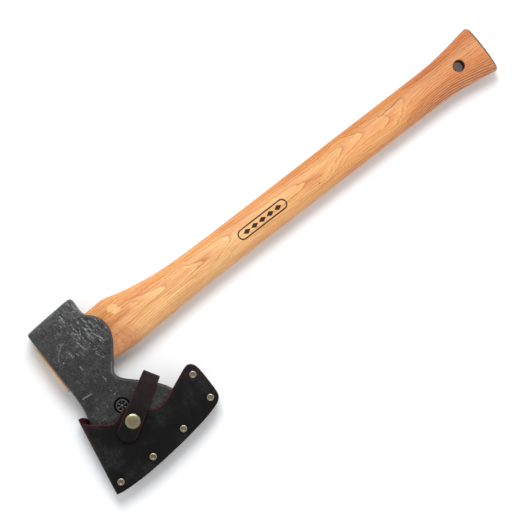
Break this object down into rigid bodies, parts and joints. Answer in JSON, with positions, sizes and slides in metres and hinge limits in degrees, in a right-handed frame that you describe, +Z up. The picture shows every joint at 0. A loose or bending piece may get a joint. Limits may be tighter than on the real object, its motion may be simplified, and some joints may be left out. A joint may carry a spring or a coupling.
{
  "type": "felling axe with leather sheath",
  "caption": "Forged bearded axe on a straight wooden handle with a hanging hole, its blade in a riveted leather sheath held by a strap and press stud that wraps over the beard.",
  "frame": {"origin": "centre of the whole object's footprint, on the surface it lies on", "axes": "lying on its side: +X along the handle from the head towards the knob, +Y from the blade towards the poll, +Z up through the blade's thickness, towards the snap's side"},
  "size_m": [0.5235, 0.1733, 0.033],
  "materials": {
    "forged_steel": "forged black, satin, with fine pits and scratches; ground bright at the cutting edge",
    "hickory": "smooth oiled hickory, long straight grain with cathedral figure",
    "wedge_wood": "darker hardwood wedge, end grain",
    "bright_steel": "dull drawn steel",
    "sheath_leather": "oiled, near-black pull-up leather with burnished reddish-brown cut edges",
    "welt_leather": "raw reddish-brown leather filler strip",
    "strap_leather": "oiled very dark burgundy leather",
    "antique_brass": "worn antique brass",
    "rivet_metal": "dull nickel-plated rivets"
  },
  "bodies": {
    "axe": {"axe_head": "forged_steel", "handle": "hickory", "wooden_wedge": "wedge_wood", "ring_wedge": "bright_steel"},
    "sheath": {"sheath_leather": "sheath_leather", "sheath_welt": "welt_leather", "strap_root": "strap_leather", "strap_bend": "strap_leather", "snap_stud": "antique_brass", "snap_post": "antique_brass", "edge_rivets": "rivet_metal", "edge_rivet_caps": "rivet_metal", "strap_rivet_posts": "rivet_metal", "strap_rivet_caps": "rivet_metal"},
    "strap": {"strap_flap": "strap_leather", "snap_cap": "antique_brass", "snap_socket": "antique_brass"}
  },
  "joints": [
    {"name": "sheath_slide", "type": "slide", "parent": "axe", "child": "sheath", "axis": [-0.176, -0.9844, 0], "range_m": [0, 0.09], "deforming": ["strap_bend"]},
    {"name": "strap_hinge", "type": "hinge", "parent": "sheath", "child": "strap", "pos_m": [-0.17659, -0.02021, 0.0273], "axis": [-0.5133, 0.8582, 0], "range_deg": [0, 130], "deforming": ["strap_bend"]}
  ]
}
